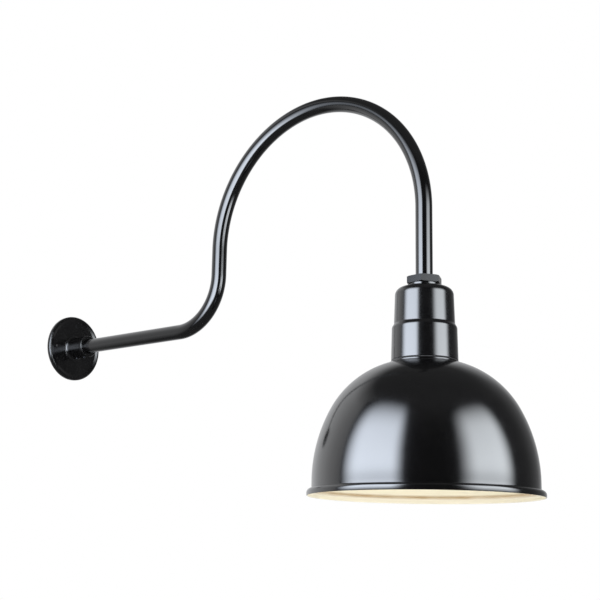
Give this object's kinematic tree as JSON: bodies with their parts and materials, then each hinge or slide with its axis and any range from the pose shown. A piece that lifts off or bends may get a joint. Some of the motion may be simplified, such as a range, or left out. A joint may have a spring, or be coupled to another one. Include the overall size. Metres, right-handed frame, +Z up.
{
  "type": "gooseneck wall sconce",
  "caption": "Wall light: a bent tube arm rises out of a round wall plate, arches over and holds a deep dome shade with a stepped neck, facing down.",
  "frame": {"origin": "centre of the wall plate's back, on the wall's surface", "axes": "+X out of the wall along the tube's straight run, +Z up, +Y to the left seen from in front of the wall"},
  "size_m": [1.0118, 0.3556, 0.6842],
  "materials": {
    "black_paint": "gloss black paint on steel tube and cast parts",
    "black_enamel": "gloss black enamel outside, warm cream white enamel inside, on spun steel",
    "zinc": "dull zinc-plated steel",
    "dark_steel": "black oxide steel",
    "green_steel": "green-dyed earth screw",
    "gasket_rubber": "soft black rubber",
    "black_plastic": "black insulation and nylon bush",
    "white_plastic": "white insulation",
    "porcelain": "white glazed porcelain",
    "brass": "plain brass",
    "clear_glass": "clear lamp glass",
    "black_glass": "opaque black glass",
    "bulb_aluminium": "bright pressed aluminium",
    "tungsten": "drawn tungsten wire"
  },
  "bodies": {
    "wall": {"wall_gasket": "gasket_rubber", "wall_plate": "black_paint", "hub_set_screws": "dark_steel", "ground_screw": "green_steel"},
    "arm": {"gooseneck_arm": "black_paint", "end_bushing": "black_plastic", "supply_lead_black": "black_plastic", "supply_lead_white": "white_plastic"},
    "nut": {"lock_nut": "black_paint"},
    "head": {"neck": "black_paint", "neck_set_screw": "dark_steel", "neck_gasket": "gasket_rubber", "shade": "black_enamel", "shade_ring": "zinc", "shade_screws": "zinc", "socket_bracket": "zinc", "bracket_screws": "zinc", "socket_body": "porcelain", "socket_screws": "zinc", "screw_shell": "brass", "centre_contact": "brass", "socket_lead_black": "black_plastic", "socket_lead_white": "white_plastic"},
    "bulb": {"bulb_globe": "clear_glass", "bulb_cap": "bulb_aluminium", "bulb_insulator": "black_glass", "bulb_contact": "brass", "bulb_stem": "clear_glass", "bulb_filament": "tungsten"}
  },
  "joints": [
    {"name": "arm_turn", "type": "hinge", "parent": "wall", "child": "arm", "pos_m": [0, 0, 0], "axis": [1, 0, 0], "range_deg": [-180, 180]},
    {"name": "lock_nut_turn", "type": "hinge", "parent": "arm", "child": "nut", "pos_m": [0.834, 0, 0], "axis": [0, 0, 1], "range_deg": [0, 360]},
    {"name": "head_turn", "type": "hinge", "parent": "arm", "child": "head", "pos_m": [0.834, 0, 0], "axis": [0, 0, 1], "range_deg": [-180, 180]},
    {"name": "bulb_out", "type": "slide", "parent": "head", "child": "bulb", "axis": [0, 0, -1], "range_m": [0, 0.27]}
  ]
}
